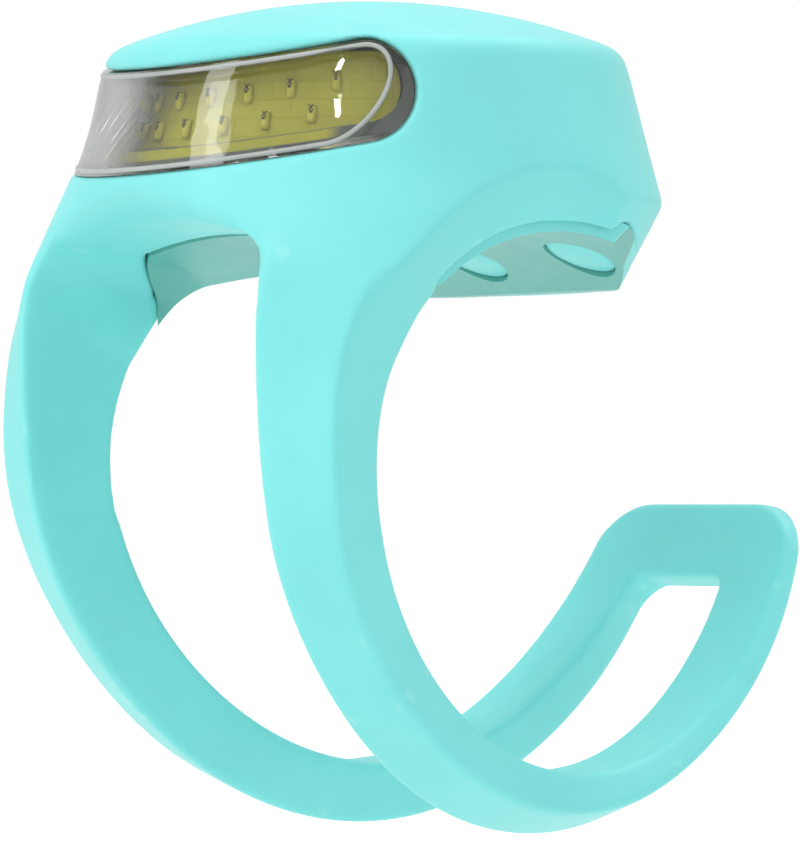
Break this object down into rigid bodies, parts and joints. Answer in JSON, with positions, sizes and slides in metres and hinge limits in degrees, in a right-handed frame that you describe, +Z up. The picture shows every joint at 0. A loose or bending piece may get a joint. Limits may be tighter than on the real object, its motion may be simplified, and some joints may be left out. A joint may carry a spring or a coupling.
{
  "type": "bicycle light",
  "caption": "Bicycle light in a silicone skin: rounded head with a curved lens around its front, a press button under the roof and a tapered slotted strap that wraps a handlebar",
  "frame": {"origin": "on the axis of the handlebar, at the middle of the light's width", "axes": "+X along the handlebar, -Y the way the light shines, +Z up out of the handlebar into the head"},
  "size_m": [0.0426, 0.0543, 0.059],
  "materials": {
    "silicone": "satin",
    "plate_plastic": "satin",
    "pod_plastic": "matte",
    "seal_rubber": "matte",
    "screw_steel": "satin",
    "clear_lens": "gloss",
    "amber_board": "satin",
    "package_plastic": "satin",
    "green_board": "satin",
    "black_plastic": "matte",
    "cell_steel": "satin",
    "spring_metal": "satin"
  },
  "bodies": {
    "head": {"silicone_sleeve": "silicone", "strap_flex": "silicone", "bottom_plate": "plate_plastic", "rear_hook": "plate_plastic", "pod_shell": "pod_plastic", "pod_floor": "pod_plastic", "light_carrier": "pod_plastic", "pod_seal": "seal_rubber", "lens_gasket": "seal_rubber", "pod_screws": "screw_steel", "lens": "clear_lens", "light_board": "amber_board", "light_packages": "package_plastic", "flex_tail": "amber_board", "flex_connector": "package_plastic", "main_board": "green_board", "controller_chip": "black_plastic", "board_parts": "package_plastic", "coin_cells": "cell_steel", "positive_contact": "spring_metal", "negative_contact": "spring_metal", "switch_body": "black_plastic"},
    "strap": {"strap_loop": "silicone"},
    "button": {"press_dome": "silicone", "plunger": "pod_plastic", "switch_cap": "package_plastic"}
  },
  "joints": [
    {"name": "strap_bend", "type": "hinge", "parent": "head", "child": "strap", "pos_m": [0, -0.01235, -0.0159], "axis": [1, 0, 0], "range_deg": [-35, 17], "stiffness_Nm_per_rad": 0.055, "deforming": ["strap_flex"]},
    {"name": "button_press", "type": "slide", "parent": "head", "child": "button", "axis": [0, 0, -1], "range_m": [0, 0.0004], "stiffness_N_per_m": 3000}
  ]
}
